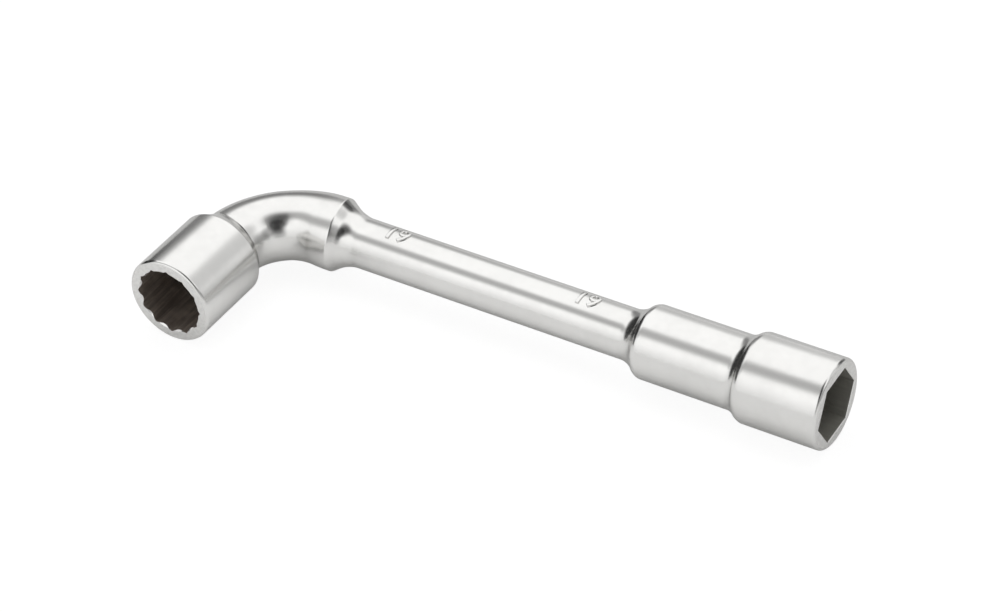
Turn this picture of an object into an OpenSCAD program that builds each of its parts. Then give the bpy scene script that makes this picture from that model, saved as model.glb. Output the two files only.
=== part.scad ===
// Angled socket wrench for one size of nut, in millimetres.
// The origin is where the axes of the two sockets cross. +X runs along the long
// leg to its six-point mouth, -Y runs along the short leg to its twelve-point
// mouth, and +Z is square to both legs. The tool is one forging. Each sub-part
// is a section of it, closed by flat faces where the next section starts.

/* [Sockets] */
// Width across the flats of the nut that both sockets turn
nut_af = 19; // [16:0.5:20]
// Room added to the nut's width across the flats
socket_play = 0.1; // [0.04:0.01:0.3]
// Depth of the six-point socket
hex_depth = 21; // [12:0.5:24]
// Depth of the twelve-point socket
star_depth = 24; // [12:0.5:25]
// Turn of the six-point socket about its own axis, from one corner on +Y
hex_turn = 4; // [0:0.5:30]
// Turn of the twelve-point socket about its own axis, from one point on +X
star_turn = -2; // [-15:0.5:15]
// Depth of the small bevel at the six-point mouth
hex_lead_in = 0.2; // [0.1:0.05:0.6]
// Depth of the bevel that leads the nut into the twelve-point mouth
star_lead_in = 0.6; // [0.3:0.05:1.2]

/* [Heads] */
// Metal outside the corners of the six-point socket
hex_wall = 2.45; // [1.8:0.05:4]
// Metal outside the points of the twelve-point socket
star_wall = 2.72; // [1.8:0.05:4]
// Length of the straight side of the six-point head
hex_head_length = 24.3; // [20:0.1:35]
// Length of the straight side of the twelve-point head
star_head_length = 25.7; // [25.5:0.1:30]
// Bevel around the outer edge of each mouth
rim_bevel = 0.35; // [0.2:0.05:0.8]

/* [Legs] */
// Length from the crossing of the axes to the six-point mouth
long_reach = 190; // [170:1:260]
// Length from the crossing of the axes to the twelve-point mouth
short_reach = 50.5; // [48:0.5:51]

/* [Elbow] */
// Radius of the elbow's centre line
bend_radius = 22; // [21:0.5:23]
// Diameter of the elbow's round section
elbow_d = 20.8; // [20:0.1:22]
// Slope of the neck behind the twelve-point head, in degrees
neck_slope = 29.5; // [28:0.5:40]
// Diameter of the passage that lets a long stud out through the elbow
stud_passage_d = 14; // [10:0.5:16]
// Diameter of the crest where the elbow ends
crest_d = 22.5; // [22:0.1:24]
// Length from the end of the bend to the crest's far edge
crest_run = 4.3; // [2.5:0.1:6]
// Width of the flat top of the crest
crest_land = 0.9; // [0.5:0.1:1.8]
// Slope of the crest's near side, in degrees
crest_slope = 12; // [10:0.5:20]

/* [Shank and barrel] */
// Diameter of the shank
shank_d = 15.3; // [12:0.1:18]
// Diameter of the barrel
barrel_d = 22.3; // [21:0.1:24]
// Length of the straight side of the barrel
barrel_length = 27.7; // [15:0.1:50]
// Diameter of the barrel's clearance bore
barrel_bore_d = 17; // [14:0.1:18]

/* [Blends] */
// Radius of the hollow from the crest to the shank
crest_hollow = 12.5; // [10:0.5:20]
// Radius that rounds the crest's far edge
crest_round = 0.8; // [0.4:0.1:2]
// Radius of the hollow from the shank to the barrel
barrel_hollow = 7.2; // [5:0.1:12]
// Radius that rounds the barrel's shoulder
barrel_round = 3.2; // [2:0.1:6]
// Radius of the hollow from the barrel to the six-point head
head_hollow = 4.7; // [3:0.1:8]
// Radius that rounds the six-point head's shoulder
head_round = 3.4; // [2:0.1:6]

/* [Hidden] */

// How far a cutter runs past the face that it opens
past = 1;
// How far a cone's thin end sinks below the skin of the tube that it meets
sink = 1.2;
// How far the circles of a blend's two arcs cut into each other
crease_depth = 0.05;
// Angle from one point of the twelve-point socket to the next
point_pitch = 30;
// Turn that brings a corner of the six-point socket onto +Y
corner_to_y = 90;

socket_af = nut_af + socket_play;
corner_r = socket_af / 2 / cos(30);
inner_corner_r = socket_af / 2 / cos(15);
hex_head_r = corner_r + hex_wall;
star_head_r = corner_r + star_wall;
elbow_r = elbow_d / 2;
crest_r = crest_d / 2;
shank_r = shank_d / 2;
barrel_r = barrel_d / 2;

// Stations along the short leg, measured from the crossing of the axes
neck_at = short_reach - star_head_length;
neck_run = (star_head_r - elbow_r + sink) / tan(neck_slope);

// Stations along the long leg, from the crossing of the axes to the mouth
crest_at = bend_radius + crest_run;
crest_back = (crest_r - elbow_r + sink) / tan(crest_slope);
shank_at = crest_at + blend_run(shank_r, crest_r, crest_hollow, crest_round);
shoulder_run = blend_run(barrel_r, hex_head_r, head_hollow, head_round);
barrel_end = long_reach - hex_head_length - shoulder_run;
barrel_at = barrel_end - barrel_length;
shank_end = barrel_at - blend_run(shank_r, barrel_r, barrel_hollow, barrel_round);

$fn = 96;

// A blend runs from a thin bar to a thick one: a hollow arc leaves the thin bar and
// a round arc meets the thick one. The arcs cross at a soft crease, as their circles
// cut a little into each other, and the run is what that leaves between their centres.
function blend_run(thin_r, thick_r, hollow_r, round_r) =
    sqrt(pow(hollow_r + round_r - crease_depth, 2)
         - pow(hollow_r + round_r - (thick_r - thin_r), 2));

// Children drawn up +Z are laid along the long leg, starting at this station
module on_long_leg(station) {
    translate([station, 0, 0]) rotate([0, 90, 0]) children();
}

// Children drawn up +Z are laid back from this station, towards the elbow
module back_from(station) {
    translate([station, 0, 0]) rotate([0, -90, 0]) children();
}

// Children drawn up +Z are laid along the short leg, starting at this station
module on_short_leg(station) {
    translate([0, -station, 0]) rotate([90, 0, 0]) children();
}

// Solid blend from its thin end at the base to its thick end at the top. Children are
// the outline of what stands on the thick end, drawn as radius against length.
module blend(thin_r, thick_r, hollow_r, round_r) {
    run = blend_run(thin_r, thick_r, hollow_r, round_r);
    hollow_centre = [thin_r + hollow_r, 0];
    round_centre = [thick_r - round_r, run];
    rotate_extrude() difference() {
        union() {
            polygon([[0, 0], hollow_centre, round_centre, [0, run]]);
            intersection() {
                translate(round_centre) circle(round_r);
                square([thick_r + past, run]);
            }
            translate([0, run]) children();
        }
        translate(hollow_centre) circle(hollow_r);
    }
}

// Outline of a head's straight side, with the bevel around its mouth at the top
module head_outline(head_r, length) {
    polygon([[0, 0], [head_r, 0], [head_r, length - rim_bevel],
             [head_r - rim_bevel, length], [0, length]]);
}

// Six-sided space for the nut, from its floor up
module hexagon_space(depth, turn) {
    rotate([0, 0, turn]) cylinder(r = corner_r, h = depth, $fn = 6);
}

// Bevel of this depth cut at a mouth at this height, where the least radius of the
// socket is given
module lead_in_cut(mouth, least_r, depth) {
    translate([0, 0, mouth - depth - sink / 2])
        cylinder(r1 = least_r - sink / 2, r2 = least_r + depth + past,
                 h = depth + sink / 2 + past);
}

module twelve_point_head() {
    floor_at = star_head_length - star_depth;
    color("silver") on_short_leg(neck_at) difference() {
        rotate_extrude() head_outline(star_head_r, star_head_length);
        for (turn = [0, point_pitch])
            translate([0, 0, floor_at]) hexagon_space(star_depth + past, star_turn + turn);
        translate([0, 0, -past]) cylinder(d = stud_passage_d, h = floor_at + 2 * past);
        lead_in_cut(star_head_length, inner_corner_r, star_lead_in);
    }
}

module elbow() {
    color("silver") difference() {
        union() {
            translate([bend_radius, -bend_radius, 0]) rotate([0, 0, 90])
                rotate_extrude(angle = 90) translate([bend_radius, 0]) circle(elbow_r);
            translate([0, -neck_at, 0]) rotate([-90, 0, 0])
                cylinder(r1 = star_head_r, r2 = elbow_r - sink, h = neck_run);
            back_from(crest_at) {
                cylinder(r = elbow_r, h = crest_run);
                cylinder(r = crest_r, h = crest_land);
                translate([0, 0, crest_land])
                    cylinder(r1 = crest_r, r2 = elbow_r - sink, h = crest_back);
            }
        }
        translate([0, -neck_at - past, 0]) rotate([-90, 0, 0])
            cylinder(d = stud_passage_d, h = neck_at + elbow_d);
    }
}

module elbow_taper() {
    color("silver") back_from(shank_at) blend(shank_r, crest_r, crest_hollow, crest_round);
}

module shank() {
    color("silver") on_long_leg(shank_at) cylinder(r = shank_r, h = shank_end - shank_at);
}

module barrel_taper() {
    color("silver") on_long_leg(shank_end)
        blend(shank_r, barrel_r, barrel_hollow, barrel_round);
}

module barrel() {
    color("silver") on_long_leg(barrel_at) difference() {
        cylinder(r = barrel_r, h = barrel_length);
        translate([0, 0, -past]) cylinder(d = barrel_bore_d, h = barrel_length + 2 * past);
    }
}

module six_point_head() {
    mouth_at = shoulder_run + hex_head_length;
    floor_at = mouth_at - hex_depth;
    color("silver") on_long_leg(barrel_end) difference() {
        blend(barrel_r, hex_head_r, head_hollow, head_round)
            head_outline(hex_head_r, hex_head_length);
        translate([0, 0, floor_at]) hexagon_space(hex_depth + past, hex_turn + corner_to_y);
        translate([0, 0, -past]) cylinder(d = barrel_bore_d, h = floor_at + 2 * past);
        lead_in_cut(mouth_at, socket_af / 2, hex_lead_in);
    }
}

twelve_point_head();
elbow();
elbow_taper();
shank();
barrel_taper();
barrel();
six_point_head();
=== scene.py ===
"""Looks of an angled socket wrench: one forging in satin chrome, lying on a pale floor.

Lengths are millimetres while a piece is being made, and each finished mesh is scaled to
metres once. The origin is where the axes of the two sockets cross, +X runs along the long
leg and -Y along the short one.
"""

import logging
import math
from dataclasses import dataclass
from enum import Enum
from typing import Callable, Iterable, Optional, Sequence, Union

import bmesh
import bpy
from mathutils import Matrix, Vector


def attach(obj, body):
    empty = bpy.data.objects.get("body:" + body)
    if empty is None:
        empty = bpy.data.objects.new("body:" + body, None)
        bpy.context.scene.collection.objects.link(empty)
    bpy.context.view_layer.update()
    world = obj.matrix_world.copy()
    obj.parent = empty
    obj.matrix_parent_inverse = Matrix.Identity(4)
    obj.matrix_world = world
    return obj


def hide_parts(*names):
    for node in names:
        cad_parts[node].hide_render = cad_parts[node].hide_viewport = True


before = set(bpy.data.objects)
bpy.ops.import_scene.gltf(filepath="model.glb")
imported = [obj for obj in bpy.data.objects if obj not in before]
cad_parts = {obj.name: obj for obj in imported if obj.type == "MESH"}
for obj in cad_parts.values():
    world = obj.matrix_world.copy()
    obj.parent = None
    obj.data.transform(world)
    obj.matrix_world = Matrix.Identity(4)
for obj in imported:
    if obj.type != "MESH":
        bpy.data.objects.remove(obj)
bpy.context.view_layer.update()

log = logging.getLogger("wrench")

MM = 0.001
BODY = "root"
WHITE = (1.0, 1.0, 1.0, 1.0)

# Faces round a turned piece
ROUND = 144
# Angle between two faces from which their edge stays sharp
SHARP = math.radians(28)
# Cosine above which a face counts as square to its leg
SQUARE = 0.99
# Distances under which points merge, in a turned shape and in a finished piece
TURNED_MERGE = 0.0005
MERGE = 0.001

# Width across the flats of both sockets, and the radii of its outer and inner corners
ACROSS_FLATS = 19.1
CORNER_RADIUS = ACROSS_FLATS / 2 / math.cos(math.pi / 6)
INNER_CORNER_RADIUS = ACROSS_FLATS / 2 / math.cos(math.pi / 12)

# Stations along the short leg, from the crossing of the axes
NECK_AT = 24.8
SHORT_MOUTH = 50.5
# Stations along the long leg, from the crossing of the axes
CREST_AT = 26.3
SHANK_AT = 35.326
SHANK_END = 124.67
BARREL_AT = 132.39
BARREL_END = 160.09
LONG_MOUTH = 190.0

# Radii of the sections and of the holes through them
STAR_HEAD_RADIUS = 13.7474
HEX_HEAD_RADIUS = 13.4774
CREST_RADIUS = 11.24
SHANK_RADIUS = 7.65
BARREL_RADIUS = 11.15
BARREL_BORE_RADIUS = 8.5
PASSAGE_RADIUS = 7.0
# Radius at which a head's outline ends on its mouth face, inside the socket to be cut
FACE_END = 6.0


# Shader maths


class Signal:
    """A shader socket that can be used in arithmetic; each operation adds its node."""

    def __init__(self, bench: "Bench", socket: bpy.types.NodeSocket) -> None:
        """Wraps a socket.

        Args:
            bench: the node tree's bench, which adds the nodes.
            socket: the output socket that carries the value.
        """
        self.bench = bench
        self.socket = socket

    def _math(self, operation: str, *values: "Value") -> "Signal":
        """Adds a Math node.

        Args:
            operation: the node's operation.
            *values: its inputs, in order.

        Returns:
            The node's result.
        """
        return self.bench.add("ShaderNodeMath", {"operation": operation}, dict(enumerate(values)))

    def __add__(self, other: "Value") -> "Signal":
        """Sum."""
        return self._math("ADD", self, other)

    def __radd__(self, other: "Value") -> "Signal":
        """Sum with a number on the left."""
        return self._math("ADD", other, self)

    def __sub__(self, other: "Value") -> "Signal":
        """Difference."""
        return self._math("SUBTRACT", self, other)

    def __rsub__(self, other: "Value") -> "Signal":
        """Difference with a number on the left."""
        return self._math("SUBTRACT", other, self)

    def __mul__(self, other: "Value") -> "Signal":
        """Product."""
        return self._math("MULTIPLY", self, other)

    def __rmul__(self, other: "Value") -> "Signal":
        """Product with a number on the left."""
        return self._math("MULTIPLY", other, self)

    def __pow__(self, other: "Value") -> "Signal":
        """Power."""
        return self._math("POWER", self, other)

    def sine(self) -> "Signal":
        """Sine of the value in radians."""
        return self._math("SINE", self)

    def at_least(self, other: "Value") -> "Signal":
        """The larger of the two values."""
        return self._math("MAXIMUM", self, other)

    def size(self) -> "Signal":
        """Absolute value."""
        return self._math("ABSOLUTE", self)

    def centred(self) -> "Signal":
        """The value less one half, so that noise lies round zero."""
        return self - 0.5

    def smooth(self, low: float, high: float) -> "Signal":
        """Eases from 0 at one value to 1 at the other.

        Args:
            low: value that gives 0.
            high: value that gives 1.

        Returns:
            The eased value.
        """
        return self.bench.add(
            "ShaderNodeMapRange",
            {"interpolation_type": "SMOOTHSTEP"},
            {"Value": self, "From Min": low, "From Max": high, "To Min": 0.0, "To Max": 1.0},
        )


Value = Union[Signal, float, int, Sequence[float]]


@dataclass(frozen=True)
class Speckle:
    """A kind of noise.

    Pitch is the size of its largest spots in millimetres, layers is how many finer layers it
    has, and rough is how strong they are.
    """

    pitch: float
    layers: float
    rough: float


class Bench:
    """Adds nodes to one node tree."""

    def __init__(self, tree: bpy.types.NodeTree) -> None:
        """Clears the tree.

        Args:
            tree: the material's or world's node tree.
        """
        self.tree = tree
        tree.nodes.clear()

    def add(
        self,
        kind: str,
        settings: Optional[dict] = None,
        inputs: Optional[dict] = None,
        output: Union[int, str] = 0,
    ) -> Signal:
        """Adds any node, sets it, then fills its sockets.

        Args:
            kind: the node's type.
            settings: properties by name, set before the sockets are used.
            inputs: numbers or signals by socket name or number.
            output: name or number of the socket to return.

        Returns:
            The chosen output.
        """
        node = self.tree.nodes.new(kind)
        for name, value in (settings or {}).items():
            setattr(node, name, value)
        for name, value in (inputs or {}).items():
            if isinstance(value, Signal):
                self.tree.links.new(value.socket, node.inputs[name])
            else:
                node.inputs[name].default_value = value
        return Signal(self, node.outputs[output]) if len(node.outputs) else Signal(self, None)

    def place(self) -> Signal:
        """Gives Object coordinates in millimetres.

        Returns:
            The place of the shaded point.
        """
        here = self.add("ShaderNodeTexCoord", output="Object")
        return self.add(
            "ShaderNodeVectorMath", {"operation": "SCALE"}, {0: here, "Scale": 1.0 / MM}
        )

    def stretched(self, place: Signal, stretch: Sequence[float]) -> Signal:
        """Multiplies a place by a stretch in each direction.

        Args:
            place: the place in millimetres.
            stretch: one factor for each axis.

        Returns:
            The stretched place.
        """
        return self.add("ShaderNodeVectorMath", {"operation": "MULTIPLY"}, {0: place, 1: stretch})

    def noise(self, place: Signal, speckle: Speckle) -> Signal:
        """Soft noise around one half.

        Args:
            place: the place in millimetres.
            speckle: the kind of noise.

        Returns:
            The noise, mostly from 0.3 to 0.7.
        """
        return self.add(
            "ShaderNodeTexNoise",
            {"noise_dimensions": "3D"},
            {
                "Vector": place,
                "Scale": 1.0 / speckle.pitch,
                "Detail": speckle.layers,
                "Roughness": speckle.rough,
            },
        )

    def part(self, place: Signal, axis: str) -> Signal:
        """One part of a vector.

        Args:
            place: the vector.
            axis: X, Y or Z.

        Returns:
            That part.
        """
        return self.add("ShaderNodeSeparateXYZ", inputs={0: place}, output=axis)

    def blend(self, share: Value, first: Value, second: Value) -> Signal:
        """Mixes two colours.

        Args:
            share: how much of the second.
            first: colour at a share of 0.
            second: colour at a share of 1.

        Returns:
            The mixed colour.
        """
        return self.add(
            "ShaderNodeMix",
            {"data_type": "RGBA", "clamp_factor": True},
            {"Factor": share, 6: first, 7: second},
            output=2,
        )

    def bump(self, height: Signal, depth: float, below: Optional[Signal] = None) -> Signal:
        """Turns a height into a normal.

        Args:
            height: the height, from 0 to 1.
            depth: height of a full step in millimetres.
            below: a normal that this bump lies on.

        Returns:
            The normal.
        """
        inputs = {"Height": height, "Strength": 1.0, "Distance": depth * MM}
        if below is not None:
            inputs["Normal"] = below
        return self.add("ShaderNodeBump", inputs=inputs)


# Finishes


@dataclass(frozen=True)
class SatinChrome:
    """Satin chrome over a forged and tumbled skin.

    Clouds, blotch, grain and hair are its noises. What is named after two of them, or after
    one and a property, is how much of the first goes into the second.
    """

    name: str = "satin_chrome_skin"
    bright: tuple[float, ...] = (0.82, 0.815, 0.80, 1.0)
    worn: tuple[float, ...] = (0.785, 0.78, 0.765, 1.0)
    sheen: float = 0.18
    clouds: Speckle = Speckle(14.0, 3.0, 0.55)
    blotch: Speckle = Speckle(2.6, 3.0, 0.6)
    grain: Speckle = Speckle(0.22, 2.0, 0.6)
    hair: Speckle = Speckle(0.45, 3.0, 0.65)
    hair_stretch: tuple[float, float, float] = (0.12, 1.0, 1.0)
    clouds_in_wear: float = 0.6
    blotch_in_wear: float = 0.4
    wear_range: tuple[float, float] = (0.36, 0.66)
    blotch_in_sheen: float = 0.07
    clouds_in_sheen: float = 0.08
    hair_in_sheen: float = 0.07
    blotch_in_wave: float = 0.12
    wave_depth: float = 0.012
    hair_in_grain: float = 0.5
    grain_depth: float = 0.006
    edge_tint: tuple[float, ...] = (0.8, 0.8, 0.8, 1.0)

    def make(self) -> bpy.types.Material:
        """Builds the material.

        Returns:
            The finished material.
        """
        material, bench = new_material(self.name)
        place = bench.place()
        clouds = bench.noise(place, self.clouds)
        blotch = bench.noise(place, self.blotch)
        grain = bench.noise(place, self.grain)
        hair = bench.noise(bench.stretched(place, self.hair_stretch), self.hair)
        wear = self.clouds_in_wear * clouds + self.blotch_in_wear * blotch
        wear = wear.smooth(*self.wear_range)
        rough = (
            self.sheen
            + self.blotch_in_sheen * blotch.centred()
            + self.clouds_in_sheen * clouds.centred()
            + self.hair_in_sheen * hair.centred()
        )
        normal = bench.bump(clouds + self.blotch_in_wave * blotch, self.wave_depth)
        normal = bench.bump(grain + self.hair_in_grain * hair, self.grain_depth, normal)
        surface = metal(bench, bench.blend(wear, self.bright, self.worn), rough, normal)
        surface.inputs["Specular Tint"].default_value = self.edge_tint
        return material


@dataclass(frozen=True)
class FacedMouth:
    """A mouth face that was turned flat, then plated.

    Across names the two axes of the face, and the rings are the marks of the turning tool.
    """

    name: str
    across: tuple[str, str]
    bright: tuple[float, ...] = (0.84, 0.835, 0.82, 1.0)
    worn: tuple[float, ...] = (0.76, 0.755, 0.74, 1.0)
    sheen: float = 0.42
    uneven: Speckle = Speckle(1.2, 3.0, 0.6)
    grain: Speckle = Speckle(0.2, 2.0, 0.6)
    ring_pitch: float = 0.3
    ring_wobble: float = 0.12
    ring_depth: float = 0.006
    wear_range: tuple[float, float] = (0.35, 0.68)
    uneven_in_sheen: float = 0.12
    grain_depth: float = 0.004

    def make(self) -> bpy.types.Material:
        """Builds the material.

        Returns:
            The finished material.
        """
        material, bench = new_material(self.name)
        place = bench.place()
        first, second = (bench.part(place, axis) for axis in self.across)
        radius = (first * first + second * second) ** 0.5
        uneven = bench.noise(place, self.uneven)
        rings = ((radius + self.ring_wobble * uneven) * (math.tau / self.ring_pitch)).sine()
        wear = uneven.smooth(*self.wear_range)
        rough = self.sheen + self.uneven_in_sheen * uneven.centred()
        normal = bench.bump(0.5 + 0.5 * rings, self.ring_depth)
        normal = bench.bump(bench.noise(place, self.grain), self.grain_depth, normal)
        metal(bench, bench.blend(wear, self.bright, self.worn), rough, normal)
        return material


@dataclass(frozen=True)
class BroachedWall:
    """A broached socket wall, dark from the furnace, with lines along the socket.

    The stretch draws the lines out along one axis, and bare is how metallic the wall is.
    """

    name: str
    stretch: tuple[float, float, float]
    dark: tuple[float, ...]
    streak: tuple[float, ...]
    bare: float = 0.3
    sheen: float = 0.5
    lines: Speckle = Speckle(0.9, 3.0, 0.6)
    soot: Speckle = Speckle(4.0, 3.0, 0.6)
    lines_in_tint: float = 0.7
    soot_in_tint: float = 0.3
    tint_range: tuple[float, float] = (0.4, 0.72)
    soot_in_sheen: float = 0.2
    line_depth: float = 0.02

    def make(self) -> bpy.types.Material:
        """Builds the material.

        Returns:
            The finished material.
        """
        material, bench = new_material(self.name)
        place = bench.place()
        lines = bench.noise(bench.stretched(place, self.stretch), self.lines)
        soot = bench.noise(place, self.soot)
        share = self.lines_in_tint * lines + self.soot_in_tint * soot
        share = share.smooth(*self.tint_range)
        rough = self.sheen + self.soot_in_sheen * soot.centred()
        normal = bench.bump(lines, self.line_depth)
        surface = metal(bench, bench.blend(share, self.dark, self.streak), rough, normal)
        surface.inputs["Metallic"].default_value = self.bare
        return material


def new_material(name: str) -> tuple[bpy.types.Material, Bench]:
    """Makes an empty material.

    Args:
        name: the material's name.

    Returns:
        The material and its bench.
    """
    material = bpy.data.materials.new(name)
    material.use_nodes = True
    return material, Bench(material.node_tree)


def metal(bench: Bench, tint: Value, rough: Value, normal: Signal) -> bpy.types.ShaderNode:
    """Ends a material in a metal surface.

    Args:
        bench: the material's bench.
        tint: base colour.
        rough: roughness.
        normal: the bumped normal.

    Returns:
        The surface's shader node.
    """
    surface = bench.add(
        "ShaderNodeBsdfPrincipled",
        inputs={"Base Color": tint, "Metallic": 1.0, "Roughness": rough, "Normal": normal},
    )
    bench.add("ShaderNodeOutputMaterial", inputs={"Surface": surface})
    return surface.socket.node


# Turning and cutting


class Leg(Enum):
    """The leg that a section is turned on."""

    LONG = "long"
    SHORT = "short"

    def lay(self, station: float, radius: float) -> Vector:
        """A point of an outline.

        Args:
            station: distance from the crossing of the axes.
            radius: distance from the leg's axis.

        Returns:
            The point in the plane of the two legs.
        """
        if self is Leg.LONG:
            return Vector((station, radius, 0.0))
        return Vector((radius, -station, 0.0))

    def axis(self) -> Vector:
        """Direction from the crossing of the axes to the leg's mouth."""
        return Vector((1.0, 0.0, 0.0)) if self is Leg.LONG else Vector((0.0, -1.0, 0.0))

    def upright(self) -> Matrix:
        """Turn that lays +Z along the leg."""
        return Vector((0.0, 0.0, 1.0)).rotation_difference(self.axis()).to_matrix().to_4x4()


@dataclass(frozen=True)
class Corner:
    """A corner of a turned outline, and how far from it the rounding starts."""

    station: float
    radius: float
    rounding: float = 0.0
    steps: int = 6


def draw_outline(shape: bmesh.types.BMesh, leg: Leg, corners: Iterable[Corner], loop: bool) -> None:
    """Draws an outline as edges and rounds its corners.

    Args:
        shape: the mesh to draw in.
        leg: the leg that the outline belongs to.
        corners: its corners in order.
        loop: whether the last corner joins the first.
    """
    listed = list(corners)
    points = [shape.verts.new(leg.lay(c.station, c.radius)) for c in listed]
    for here, there in zip(points, points[1:] + (points[:1] if loop else [])):
        shape.edges.new((here, there))
    for corner, point in zip(listed, points):
        if corner.rounding > 0.0:
            soften_corners(shape, [point], corner.rounding, corner.steps)


def soften_corners(
    shape: bmesh.types.BMesh, corners: Sequence[bmesh.types.BMVert], reach: float, steps: int
) -> None:
    """Rounds corners of a flat outline.

    Args:
        shape: the outline.
        corners: the corners to round.
        reach: how far from a corner the rounding starts.
        steps: number of segments.
    """
    bmesh.ops.bevel(
        shape,
        geom=list(corners),
        offset=reach,
        offset_type="OFFSET",
        segments=steps,
        profile=0.5,
        affect="VERTICES",
        material=-1,
    )


def refine(shape: bmesh.types.BMesh, longest: float) -> None:
    """Splits an outline's edges until none is longer than a limit.

    Args:
        shape: the mesh that holds the outline.
        longest: the limit.
    """
    long = [edge for edge in shape.edges if edge.calc_length() > longest]
    while long:
        bmesh.ops.subdivide_edges(shape, edges=long, cuts=1)
        long = [edge for edge in shape.edges if edge.calc_length() > longest]


def turn(shape: bmesh.types.BMesh, leg: Leg) -> None:
    """Spins the outline into a closed solid.

    Args:
        shape: the mesh that holds the outline.
        leg: the leg to turn it on.
    """
    bmesh.ops.spin(
        shape,
        geom=list(shape.verts) + list(shape.edges),
        cent=(0.0, 0.0, 0.0),
        axis=leg.axis(),
        angle=math.tau,
        steps=ROUND,
        use_merge=True,
        use_duplicate=False,
    )
    bmesh.ops.remove_doubles(shape, verts=shape.verts, dist=TURNED_MERGE)
    rims = [edge for edge in shape.edges if edge.is_boundary]
    if rims:
        bmesh.ops.holes_fill(shape, edges=rims, sides=0)
    bmesh.ops.recalc_face_normals(shape, faces=shape.faces)


def turned(
    leg: Leg, corners: Iterable[Corner], loop: bool = False, longest: Optional[float] = None
) -> bmesh.types.BMesh:
    """Makes a solid of revolution.

    Args:
        leg: the leg that it is turned on.
        corners: the outline's corners.
        loop: whether the outline is a closed loop clear of the axis.
        longest: length of the longest edge that the outline may keep.

    Returns:
        The solid.
    """
    shape = bmesh.new()
    draw_outline(shape, leg, corners, loop)
    if longest is not None:
        refine(shape, longest)
    turn(shape, leg)
    return shape


def drill(leg: Leg, start: float, end: float, radius: float) -> bmesh.types.BMesh:
    """Makes a plain round cutter.

    Args:
        leg: the leg that it runs along.
        start: station of its first end.
        end: station of its other end.
        radius: its radius.

    Returns:
        The cutter.
    """
    return turned(leg, (Corner(start, radius), Corner(end, radius)))


def to_object(
    shape: bmesh.types.BMesh, name: str, materials: Sequence[bpy.types.Material]
) -> bpy.types.Object:
    """Ends a mesh and puts it in the scene, still in millimetres.

    Args:
        shape: the mesh, which is freed.
        name: the object's name.
        materials: its materials in slot order.

    Returns:
        The new object.
    """
    mesh = bpy.data.meshes.new(name)
    for material in materials:
        mesh.materials.append(material)
    shape.to_mesh(mesh)
    shape.free()
    piece = bpy.data.objects.new(name, mesh)
    bpy.context.scene.collection.objects.link(piece)
    return piece


def evaluated(piece: bpy.types.Object) -> bpy.types.Mesh:
    """Takes the mesh that an object's modifiers or text make.

    Args:
        piece: the object, which is in the scene.

    Returns:
        A new mesh.
    """
    bpy.context.view_layer.update()
    return bpy.data.meshes.new_from_object(
        piece.evaluated_get(bpy.context.evaluated_depsgraph_get())
    )


def cut(piece: bpy.types.Object, tool: bpy.types.Object) -> None:
    """Cuts one solid out of another; the cut keeps the cutter's material.

    Args:
        piece: the solid that is cut.
        tool: the cutter, which is removed.
    """
    boolean = piece.modifiers.new("cut", "BOOLEAN")
    boolean.operation = "DIFFERENCE"
    boolean.solver = "EXACT"
    boolean.material_mode = "TRANSFER"
    boolean.object = tool
    done = evaluated(piece)
    piece.modifiers.clear()
    piece.data = done
    bpy.data.objects.remove(tool)


def finish(
    piece: bpy.types.Object,
    nodes: Sequence[str],
    mend: Optional[Callable[[bmesh.types.BMesh], None]] = None,
) -> None:
    """Scales a piece to metres, shades it, parents it to the body and hides its CAD nodes.

    Args:
        piece: the piece, in millimetres.
        nodes: the CAD nodes that it stands for.
        mend: a last step on its mesh, before it is scaled.
    """
    shape = bmesh.new()
    shape.from_mesh(piece.data)
    bmesh.ops.remove_doubles(shape, verts=shape.verts, dist=MERGE)
    if mend is not None:
        mend(shape)
    for face in shape.faces:
        face.smooth = True
    for edge in shape.edges:
        edge.smooth = edge.calc_face_angle(0.0) < SHARP
    bmesh.ops.scale(shape, vec=(MM, MM, MM), verts=shape.verts)
    shape.to_mesh(piece.data)
    open_edges = sum(1 for edge in shape.edges if not edge.is_manifold)
    shape.free()
    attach(piece, BODY)
    if nodes:
        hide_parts(*nodes)
    log.info("%s: %d faces, %d open edges", piece.name, len(piece.data.polygons), open_edges)


# Sections of the forging


@dataclass(frozen=True)
class Lean:
    """How the ring of the crest leans over, as the blank was bent.

    Across and upward are how far it leans along the leg for each millimetre of Y and Z. The
    lean grows from the station where it starts to where it is full, and is gone where it ends.
    """

    across: float = -0.126
    upward: float = 0.0725
    starts: float = 12.0
    full: float = 24.5
    fades: float = 26.0
    ends: float = 35.3

    def share(self, station: float) -> float:
        """How much of the lean a station takes.

        Args:
            station: station along the long leg.

        Returns:
            The share, from 0 to 1.
        """
        grown = (station - self.starts) / (self.full - self.starts)
        left = (self.ends - station) / (self.ends - self.fades)
        share = max(0.0, min(1.0, grown, left))
        return share * share * (3.0 - 2.0 * share)

    def shift(self, station: float, across: float, up: float) -> float:
        """How far a point moves along the leg.

        Args:
            station: its station along the long leg.
            across: its distance from the axis along Y.
            up: its distance from the axis along Z.

        Returns:
            The shift along the leg.
        """
        return (self.across * across + self.upward * up) * self.share(station)


@dataclass
class TurnedSection:
    """A plain turned section of the long leg.

    Longest is set where a section leans: its outline is split until no edge is longer.
    """

    name: str
    corners: tuple[Corner, ...]
    loop: bool = False
    lean: Optional[Lean] = None
    longest: Optional[float] = None

    def build(self, skin: bpy.types.Material) -> None:
        """Turns and dresses the section.

        Args:
            skin: the forging's finish.
        """
        shape = turned(Leg.LONG, self.corners, self.loop, self.longest)
        if self.lean is not None:
            for vert in shape.verts:
                vert.co.x += self.lean.shift(*vert.co)
        finish(to_object(shape, self.name + "_skin", [skin]), [self.name])


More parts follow.
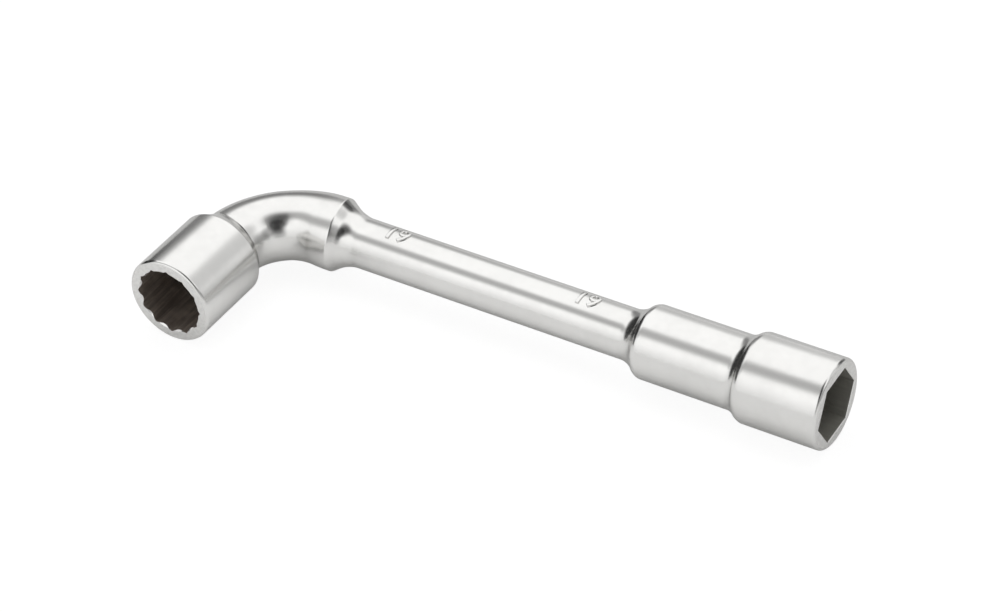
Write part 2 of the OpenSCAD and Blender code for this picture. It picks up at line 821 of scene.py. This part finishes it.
@dataclass
class Elbow:
    """Neck, bend and crest: a turned blank that is bent and then pierced.

    Girth is the blank's outline, by distance from the neck. The passage is cut between two
    stations of the short leg. Its outlet lies beyond outlet_from along Y, and within
    outlet_reach of the short leg's axis.
    """

    bend_radius: float = 22.0
    passage_from: float = NECK_AT + 2.0
    passage_to: float = -20.0
    outlet_from: float = -12.0
    outlet_reach: float = 7.2
    lip: float = 0.55
    lip_steps: int = 3
    longest: float = 0.6
    lean: Lean = Lean()
    girth: tuple[Corner, ...] = (
        Corner(0.0, STAR_HEAD_RADIUS),
        Corner(0.25, STAR_HEAD_RADIUS, 0.12, 3),
        Corner(5.5, 10.4, 0.3, 4),
        Corner(20.5, 10.26, 5.0, 6),
        Corner(28.5, 10.45, 4.0, 6),
        Corner(38.0, CREST_RADIUS, 2.0, 6),
        Corner(41.6575, CREST_RADIUS),
    )

    def build(self, skin: bpy.types.Material, passage: bpy.types.Material) -> None:
        """Turns, bends, pierces and dresses the elbow.

        Args:
            skin: the forging's finish.
            passage: finish of the stud passage.
        """
        blank = (Corner(NECK_AT - c.station, c.radius, c.rounding, c.steps) for c in self.girth)
        shape = turned(Leg.SHORT, blank, longest=self.longest)
        for vert in shape.verts:
            vert.co = self.bent(vert.co)
        piece = to_object(shape, "elbow_skin", [skin])
        bore = drill(Leg.SHORT, self.passage_from, self.passage_to, PASSAGE_RADIUS)
        cut(piece, to_object(bore, "passage_cutter", [passage]))
        finish(piece, ["elbow"], self.soften)

    def bent(self, point: Vector) -> Vector:
        """Bends a point of the straight blank.

        Args:
            point: a point of the blank, which runs along +Y from the neck.

        Returns:
            The point on the bent bar.
        """
        start = -self.bend_radius
        run = point.y - start
        if run <= 0.0:
            return point
        arc = self.bend_radius * math.pi / 2
        run += self.lean.shift(run - arc + self.bend_radius, -point.x, point.z)
        angle = min(run, arc) / self.bend_radius
        centre = Vector((self.bend_radius, start, 0.0))
        offset = Vector((point.x, start, point.z)) - centre
        offset.rotate(Matrix.Rotation(-angle, 3, "Z"))
        return centre + offset + Vector((max(run - arc, 0.0), 0.0, 0.0))

    def soften(self, shape: bmesh.types.BMesh) -> None:
        """Rounds the lip where the passage leaves the bend.

        Args:
            shape: the pierced elbow.
        """
        lip = [
            edge
            for edge in shape.edges
            if edge.calc_face_angle(0.0) > SHARP
            and min(v.co.y for v in edge.verts) > self.outlet_from
            and max(abs(v.co.x) for v in edge.verts) < self.outlet_reach
        ]
        log.info("lip: %d edges", len(lip))
        if lip:
            bmesh.ops.bevel(
                shape,
                geom=lip,
                offset=self.lip,
                offset_type="OFFSET",
                segments=self.lip_steps,
                profile=0.5,
                affect="EDGES",
                clamp_overlap=True,
                material=-1,
            )


@dataclass
class SocketHead:
    """A head with a nut socket, cut with a broach, a bore and a lead-in bevel.

    Mouth, floor and bore_from are stations along its leg. The three values that end in past
    are how far each cutter runs past the surface that it opens.
    """

    name: str
    leg: Leg
    corners: tuple[Corner, ...]
    mouth: float
    floor: float
    bore_radius: float
    bore_from: float
    lead_radius: float
    lead_depth: float = 0.6
    lead_past: float = 0.5
    broach_past: float = 2.0
    bore_past: float = 1.0

    def profile(self) -> bmesh.types.BMesh:
        """Outline of the broach as a flat face, drawn round +Z; each kind of head has its own."""
        raise NotImplementedError

    def prism(self, start: float, end: float, flare: float = 1.0) -> bmesh.types.BMesh:
        """Solid of the broach's outline along the leg.

        Args:
            start: station of its inner end.
            end: station of its outer end.
            flare: how much larger its outer end is.

        Returns:
            The solid.
        """
        shape = self.profile()
        drawn = bmesh.ops.extrude_face_region(shape, geom=list(shape.faces))["geom"]
        top = [part for part in drawn if isinstance(part, bmesh.types.BMVert)]
        bmesh.ops.scale(shape, vec=(flare, flare, 1.0), verts=top)
        bmesh.ops.translate(shape, vec=(0.0, 0.0, end - start), verts=top)
        bmesh.ops.translate(shape, vec=(0.0, 0.0, start), verts=shape.verts)
        bmesh.ops.transform(shape, matrix=self.leg.upright(), verts=shape.verts)
        bmesh.ops.recalc_face_normals(shape, faces=shape.faces)
        return shape

    def build(
        self, skin: bpy.types.Material, face: bpy.types.Material, wall: bpy.types.Material
    ) -> None:
        """Turns, cuts and dresses the head.

        Args:
            skin: the forging's finish.
            face: finish of the mouth face.
            wall: finish of the socket's walls.
        """
        shape = turned(self.leg, self.corners)
        axis = self.leg.axis()
        for part in shape.faces:
            if part.normal.dot(axis) > SQUARE and part.calc_center_median().dot(axis) > self.floor:
                part.material_index = 1
        piece = to_object(shape, self.name + "_skin", [skin, face])
        broach = self.prism(self.floor, self.mouth + self.broach_past)
        cut(piece, to_object(broach, self.name + "_broach", [wall]))
        bore = drill(self.leg, self.bore_from, self.floor + self.bore_past, self.bore_radius)
        cut(piece, to_object(bore, self.name + "_drill", [wall]))
        cut(piece, to_object(self.lead(), self.name + "_reamer", [skin]))
        finish(piece, [self.name])

    def lead(self) -> bmesh.types.BMesh:
        """Makes the cone that bevels the mouth, which runs past both ends of the bevel.

        Returns:
            The cutter.
        """
        thin, past = self.lead_radius, self.lead_past
        return turned(
            self.leg,
            (
                Corner(self.mouth - self.lead_depth - past, thin - past),
                Corner(self.mouth + past, thin + self.lead_depth + past),
            ),
        )


@dataclass
class SixPointHead(SocketHead):
    """Head of the long leg."""

    turn_angle: float = 4.0
    corner_softness: float = 0.12

    def profile(self) -> bmesh.types.BMesh:
        """Draws a hexagon with one corner a few degrees off +Y.

        Returns:
            The flat face.
        """
        shape = bmesh.new()
        bmesh.ops.create_circle(shape, cap_ends=True, segments=6, radius=CORNER_RADIUS)
        turn_by = math.radians(self.turn_angle)
        aim(shape, self.leg, Vector((0.0, math.cos(turn_by), math.sin(turn_by))))
        soften_corners(shape, list(shape.verts), self.corner_softness, steps=2)
        return shape

    def lead(self) -> bmesh.types.BMesh:
        """Edge break that follows the hexagon, as its mouth isn't reamed."""
        flare = 1.0 + 2.0 * self.lead_depth / CORNER_RADIUS
        return self.prism(self.mouth - self.lead_depth, self.mouth + self.lead_depth, flare)


@dataclass
class TwelvePointHead(SocketHead):
    """Head of the short leg."""

    corners_round: int = 24
    turn_angle: float = -2.0
    crest_softness: float = 0.95
    point_softness: float = 0.12

    def profile(self) -> bmesh.types.BMesh:
        """Draws a star of two hexagons with rounded crests between its points.

        Returns:
            The flat face.
        """
        shape = bmesh.new()
        bmesh.ops.create_circle(
            shape, cap_ends=True, segments=self.corners_round, radius=CORNER_RADIUS
        )
        shape.verts.ensure_lookup_table()
        first = shape.verts[0].co.copy()
        pitch = math.tau / self.corners_round
        crests = [v for v in shape.verts if round(v.co.angle(first) / pitch) % 2]
        points = [v for v in shape.verts if v not in crests]
        share = INNER_CORNER_RADIUS / CORNER_RADIUS
        bmesh.ops.scale(shape, vec=(share, share, 1.0), verts=crests)
        turn_by = math.radians(self.turn_angle)
        aim(shape, self.leg, Vector((math.cos(turn_by), 0.0, math.sin(turn_by))))
        soften_corners(shape, crests, self.crest_softness, steps=5)
        soften_corners(shape, points, self.point_softness, steps=2)
        return shape


def aim(shape: bmesh.types.BMesh, leg: Leg, goal: Vector) -> None:
    """Turns a flat outline about +Z so that its first corner ends up in a given direction.

    Args:
        shape: the outline, drawn round +Z.
        leg: the leg that it will be laid along.
        goal: direction of the first corner in the finished part.
    """
    shape.verts.ensure_lookup_table()
    local = leg.upright().to_3x3().inverted() @ goal
    now = shape.verts[0].co
    angle = math.atan2(local.y, local.x) - math.atan2(now.y, now.x)
    bmesh.ops.rotate(
        shape, cent=(0.0, 0.0, 0.0), matrix=Matrix.Rotation(angle, 3, "Z"), verts=shape.verts
    )


@dataclass
class SizeMark:
    """A plain size number that stands proud of the shank.

    Centre is its station along the long leg. Proud and sunk are how far its strokes stand out
    of the shank and reach into it.
    """

    name: str
    centre: float
    widen: float = 1.1
    number: str = "19"
    height: float = 5.4
    height_at_size_one: float = 0.72
    proud: float = 0.48
    sunk: float = 0.25
    stroke_round: float = 0.2
    stroke_steps: int = 3
    curve_steps: int = 6
    slice_width: float = 0.3
    slice_merge: float = 0.0001

    def flat(self) -> bmesh.types.BMesh:
        """Writes the number as flat text with rounded strokes and makes it a mesh.

        Returns:
            The flat number.
        """
        text = bpy.data.curves.new(self.name, "FONT")
        text.body = self.number
        text.size = self.height / self.height_at_size_one
        text.align_x = "CENTER"
        text.bevel_depth = self.stroke_round
        text.bevel_resolution = self.stroke_steps
        text.resolution_u = self.curve_steps
        drawn = bpy.data.objects.new(self.name, text)
        bpy.context.scene.collection.objects.link(drawn)
        mesh = evaluated(drawn)
        bpy.data.objects.remove(drawn)
        shape = bmesh.new()
        shape.from_mesh(mesh)
        bmesh.ops.remove_doubles(shape, verts=shape.verts, dist=MERGE)
        return shape

    def build(self, skin: bpy.types.Material) -> None:
        """Centres the flat number, slices it and lays it round the shank.

        Args:
            skin: the forging's finish.
        """
        shape = self.flat()
        low = min(v.co.y for v in shape.verts)
        high = max(v.co.y for v in shape.verts)
        bmesh.ops.translate(shape, vec=(0.0, -(low + high) / 2, 0.0), verts=shape.verts)
        bmesh.ops.scale(shape, vec=(self.widen, 1.0, 1.0), verts=shape.verts)
        slices = int((high - low) / self.slice_width)
        for count in range(1, slices):
            level = (low - high) / 2 + count * (high - low) / slices
            bmesh.ops.bisect_plane(
                shape,
                geom=list(shape.verts) + list(shape.edges) + list(shape.faces),
                dist=self.slice_merge,
                plane_co=(0.0, level, 0.0),
                plane_no=(0.0, 1.0, 0.0),
            )
        for vert in shape.verts:
            vert.co = self.wrapped(vert.co)
        bmesh.ops.recalc_face_normals(shape, faces=shape.faces)
        finish(to_object(shape, self.name, [skin]), [])

    def wrapped(self, point: Vector) -> Vector:
        """Lays a point of the flat number on the shank.

        Args:
            point: the flat point, whose Z says how far it stands out.

        Returns:
            The point on the shank.
        """
        rise = self.proud if point.z > 0.0 else self.sunk
        radius = SHANK_RADIUS + rise * point.z / self.stroke_round
        angle = point.y / SHANK_RADIUS
        return Vector(
            (self.centre + point.x, radius * math.sin(angle), radius * math.cos(angle))
        )


# Surroundings


def direction(side: float, height: float) -> tuple[float, float, float]:
    """Works out a direction of length 1.

    Args:
        side: degrees round from -Y towards +X.
        height: degrees above the level.

    Returns:
        The direction.
    """
    side, height = math.radians(side), math.radians(height)
    return (
        math.sin(side) * math.cos(height),
        -math.cos(side) * math.cos(height),
        math.sin(height),
    )


@dataclass(frozen=True)
class Patch:
    """A soft dark patch of the studio.

    Side and height are the direction of its centre in degrees, inner and outer its reach in
    degrees where it is fully dark and where it ends, and depth is the share of light it takes.
    """

    side: float
    height: float
    inner: float
    outer: float
    depth: float


@dataclass(frozen=True)
class Gap:
    """Dim gap between the overhead light and the front light, along a great circle.

    Pole is square to the circle, and centre is a side and a height in degrees. Edge goes across
    the gap and reach along it, both in degrees: where it is darkest and where it ends.
    """

    pole: tuple[float, float, float] = (-0.161, 0.698, 0.302)
    centre: tuple[float, float] = (-60.0, 65.4)
    edge: tuple[float, float] = (4.6, 18.5)
    reach: tuple[float, float] = (24.0, 52.0)
    depth: float = 0.58


@dataclass
class Studio:
    """Floor and light.

    The floor's sizes are metres, but for the span over which its tint turns darker towards the
    back, which is millimetres of Y; that darker back is painted shade, seen in the metal. Level is
    the light from above, low_share what is left of it at the height where the rise starts.
    Matt surfaces see the share fall_low of it at the level, and fall_steep more straight above.
    """

    floor_level: float = -13.75 * MM
    floor_centre: float = 0.08
    floor_reach: float = 1.6
    floor_sides: int = 96
    floor_front: tuple[float, ...] = (0.89, 0.89, 0.885, 1.0)
    # The floor darkens from floor_front to this back tint along Y: painted shade behind and under
    # the object, which the metal reflects.
    floor_back_painted_shade: tuple[float, ...] = (0.74, 0.74, 0.735, 1.0)
    floor_painted_shade_span: tuple[float, float] = (-30.0, 25.0)
    floor_glow: float = 0.9
    floor_in_metal: float = 0.12
    floor_shade: tuple[float, ...] = (0.17, 0.17, 0.17, 1.0)
    level: float = 1.17
    low_share: float = 0.75
    rise: tuple[float, float] = (-0.05, 0.55)
    fall_low: float = 0.22
    fall_steep: float = 1.55
    patches: tuple[Patch, ...] = (
        Patch(49.0, 42.0, 14.0, 20.5, 0.9),
        Patch(47.0, 26.0, 9.0, 17.0, 0.72),
        Patch(74.0, 22.0, 11.0, 20.0, 0.56),
        Patch(46.0, 13.0, 9.0, 21.0, 0.5),
        Patch(47.3, 60.0, 2.0, 31.0, 0.88),
        Patch(-92.3, 4.0, 29.0, 36.0, 0.97),
        Patch(98.0, 0.0, 6.0, 34.0, 0.64),
        Patch(128.0, 34.0, 4.0, 24.0, 0.4),
        Patch(145.0, 9.0, 4.0, 18.0, 0.5),
        Patch(165.0, 21.0, 8.0, 15.0, 0.84),
        Patch(169.0, 4.0, 12.0, 31.0, 0.76),
        Patch(-132.6, 12.9, 3.0, 25.0, 0.74),
        Patch(-153.0, 15.0, 3.0, 17.0, 0.36),
    )
    gap: Gap = Gap()

    def light(self) -> None:
        """Lights the scene with a soft studio all round, which the camera sees as white."""
        world = bpy.data.worlds.new("studio")
        world.use_nodes = True
        bench = Bench(world.node_tree)
        ray = bench.add("ShaderNodeTexCoord", output="Generated")
        height = bench.part(ray, "Z").smooth(*self.rise)
        glow: Value = self.level * (self.low_share + (1.0 - self.low_share) * height)
        for patch in self.patches:
            glow = self.taken(bench, ray, patch, glow)
        glow = glow * (1.0 - self.gap.depth * self.in_gap(bench, ray))
        steep = bench.part(ray, "Z").at_least(0.0)
        falling = self.fall_low + self.fall_steep * steep * steep
        matt = bench.add("ShaderNodeLightPath", output="Is Diffuse Ray")
        glow = glow * (1.0 + matt * (falling - 1.0))
        soft = bench.add("ShaderNodeBackground", inputs={"Strength": glow, "Color": WHITE})
        plain = bench.add("ShaderNodeBackground", inputs={"Strength": 1.0, "Color": WHITE})
        seen = bench.add("ShaderNodeLightPath", output="Is Camera Ray")
        both = bench.add("ShaderNodeMixShader", inputs={0: seen, 1: soft, 2: plain})
        bench.add("ShaderNodeOutputWorld", inputs={"Surface": both})
        bpy.context.scene.world = world

    def facing(self, bench: Bench, ray: Signal, goal: Sequence[float]) -> Signal:
        """Cosine between a ray and a direction.

        Args:
            bench: the world's bench.
            ray: the ray's direction.
            goal: a direction of length 1.

        Returns:
            The cosine.
        """
        return bench.add(
            "ShaderNodeVectorMath",
            {"operation": "DOT_PRODUCT"},
            {0: ray, 1: goal},
            output="Value",
        )

    def taken(self, bench: Bench, ray: Signal, patch: Patch, glow: Value) -> Signal:
        """Darkens the glow where a patch hangs.

        Args:
            bench: the world's bench.
            ray: the ray's direction.
            patch: the patch.
            glow: the glow without it.

        Returns:
            The glow with it.
        """
        near = self.facing(bench, ray, direction(patch.side, patch.height)).smooth(
            math.cos(math.radians(patch.outer)), math.cos(math.radians(patch.inner))
        )
        return (1.0 - patch.depth * near) * glow

    def in_gap(self, bench: Bench, ray: Signal) -> Signal:
        """Tells how far a ray goes into the dim gap.

        Args:
            bench: the world's bench.
            ray: the ray's direction.

        Returns:
            1 in the gap and 0 away from it.
        """
        across = self.facing(bench, ray, Vector(self.gap.pole).normalized()).size()
        middle = direction(*self.gap.centre)
        full, end = (math.cos(math.radians(angle)) for angle in self.gap.reach)
        dark, light = (math.sin(math.radians(angle)) for angle in self.gap.edge)
        along = self.facing(bench, ray, middle).smooth(end, full)
        return (1.0 - across.smooth(dark, light)) * along

    def floor(self) -> None:
        """Lays the pale floor, which reads as white but keeps a faint shadow."""
        shape = bmesh.new()
        bmesh.ops.create_circle(
            shape, cap_ends=True, segments=self.floor_sides, radius=self.floor_reach
        )
        centre = (self.floor_centre, 0.0, self.floor_level)
        bmesh.ops.translate(shape, vec=centre, verts=shape.verts)
        material, bench = new_material("pale_floor")
        # Painted shade: the tint turns darker towards the back of the floor, standing in for shade
        # behind the object.
        back = bench.part(bench.place(), "Y").smooth(*self.floor_painted_shade_span)
        tint = bench.blend(back, self.floor_front, self.floor_back_painted_shade)
        lit = bench.add("ShaderNodeBsdfDiffuse", inputs={"Color": tint})
        shade = bench.add("ShaderNodeBsdfDiffuse", inputs={"Color": self.floor_shade})
        glow = bench.add(
            "ShaderNodeEmission", inputs={"Strength": self.floor_glow, "Color": WHITE}
        )
        white = bench.add("ShaderNodeAddShader", inputs={0: shade, 1: glow})
        path = bench.add("ShaderNodeLightPath").socket.node
        camera, glossy, through = (
            Signal(bench, path.outputs[name])
            for name in ("Is Camera Ray", "Is Glossy Ray", "Is Transmission Ray")
        )
        seen = camera + through + self.floor_in_metal * glossy
        both = bench.add("ShaderNodeMixShader", inputs={0: seen, 1: lit, 2: white})
        bench.add("ShaderNodeOutputMaterial", inputs={"Surface": both})
        to_object(shape, "floor", [material])


@dataclass(frozen=True)
class Viewpoint:
    """The camera that was fitted to the photograph: its lens, place and turn."""

    sensor_width: float = 36.0
    focal_length: float = 116.95
    nearest: float = 0.01
    farthest: float = 20.0
    place: tuple[float, float, float] = (486.52, -617.87, 579.16)
    right: tuple[float, float, float] = (0.85317, 0.51996, -0.04171)
    up: tuple[float, float, float] = (-0.29553, 0.54772, 0.78273)
    back: tuple[float, float, float] = (0.42983, -0.65548, 0.62096)

    def set_up(self) -> None:
        """Adds the camera and makes it the scene's."""
        lens = bpy.data.cameras.new("camera")
        lens.sensor_width = self.sensor_width
        lens.sensor_fit = "HORIZONTAL"
        lens.lens = self.focal_length
        lens.clip_start = self.nearest
        lens.clip_end = self.farthest
        view = bpy.data.objects.new("camera", lens)
        turned_by = Matrix((self.right, self.up, self.back)).transposed().to_4x4()
        view.matrix_world = Matrix.Translation(Vector(self.place) * MM) @ turned_by
        bpy.context.scene.collection.objects.link(view)
        bpy.context.scene.camera = view


def sections() -> list[TurnedSection]:
    """Lists the plain turned sections between the elbow and the long head, in order.

    Returns:
        The sections.
    """
    return [
        TurnedSection(
            "elbow_taper",
            (
                Corner(CREST_AT, CREST_RADIUS),
                Corner(26.6, 11.2, 0.2, 4),
                Corner(31.75, SHANK_RADIUS, 3.5, 16),
                Corner(SHANK_AT, SHANK_RADIUS),
            ),
            lean=Lean(),
            longest=0.5,
        ),
        TurnedSection("shank", (Corner(SHANK_AT, SHANK_RADIUS), Corner(SHANK_END, SHANK_RADIUS))),
        TurnedSection(
            "barrel_taper",
            (
                Corner(SHANK_END, SHANK_RADIUS),
                Corner(127.87, SHANK_RADIUS, 3.14, 14),
                Corner(131.02, BARREL_RADIUS, 1.34, 8),
                Corner(BARREL_AT, BARREL_RADIUS),
            ),
        ),
        TurnedSection(
            "barrel",
            (
                Corner(BARREL_AT, BARREL_RADIUS),
                Corner(BARREL_END, BARREL_RADIUS),
                Corner(BARREL_END, BARREL_BORE_RADIUS),
                Corner(BARREL_AT, BARREL_BORE_RADIUS),
            ),
            loop=True,
        ),
    ]


def main() -> None:
    """Builds every piece and the studio, in order."""
    logging.basicConfig(level=logging.INFO, format="%(name)s: %(message)s")
    bpy.context.scene.view_settings.view_transform = "Standard"
    Viewpoint().set_up()
    studio = Studio()
    studio.light()
    studio.floor()
    skin = SatinChrome().make()
    hex_face = FacedMouth("faced_long_mouth", across=("Y", "Z")).make()
    star_face = FacedMouth("faced_short_mouth", across=("X", "Z")).make()
    hex_wall = BroachedWall(
        "broached_hexagon",
        stretch=(0.05, 1.0, 1.0),
        dark=(0.285, 0.278, 0.249, 1.0),
        streak=(0.34, 0.333, 0.3, 1.0),
    ).make()
    star_wall = BroachedWall(
        "broached_star",
        stretch=(1.0, 0.05, 1.0),
        dark=(0.2, 0.165, 0.142, 1.0),
        streak=(0.42, 0.36, 0.31, 1.0),
    ).make()
    for section in sections():
        section.build(skin)
    Elbow().build(skin, star_wall)
    SixPointHead(
        name="six_point_head",
        leg=Leg.LONG,
        corners=(
            Corner(BARREL_END, BARREL_RADIUS),
            Corner(162.03, BARREL_RADIUS, 1.88, 12),
            Corner(164.42, HEX_HEAD_RADIUS, 1.34, 10),
            Corner(LONG_MOUTH, HEX_HEAD_RADIUS, 1.25, 7),
            Corner(LONG_MOUTH, FACE_END),
        ),
        mouth=LONG_MOUTH,
        floor=169.0,
        bore_radius=BARREL_BORE_RADIUS,
        bore_from=159.0,
        lead_radius=ACROSS_FLATS / 2,
        lead_depth=0.2,
    ).build(skin, hex_face, hex_wall)
    TwelvePointHead(
        name="twelve_point_head",
        leg=Leg.SHORT,
        corners=(
            Corner(NECK_AT, STAR_HEAD_RADIUS),
            Corner(SHORT_MOUTH, STAR_HEAD_RADIUS, 1.05, 7),
            Corner(SHORT_MOUTH, FACE_END),
        ),
        mouth=SHORT_MOUTH,
        floor=26.5,
        bore_radius=PASSAGE_RADIUS,
        bore_from=23.8,
        lead_radius=INNER_CORNER_RADIUS,
    ).build(skin, star_face, star_wall)
    SizeMark("size_mark_by_crest", centre=46.9).build(skin)
    SizeMark("size_mark_by_barrel", centre=111.1).build(skin)


if __name__ == "__main__":
    main()
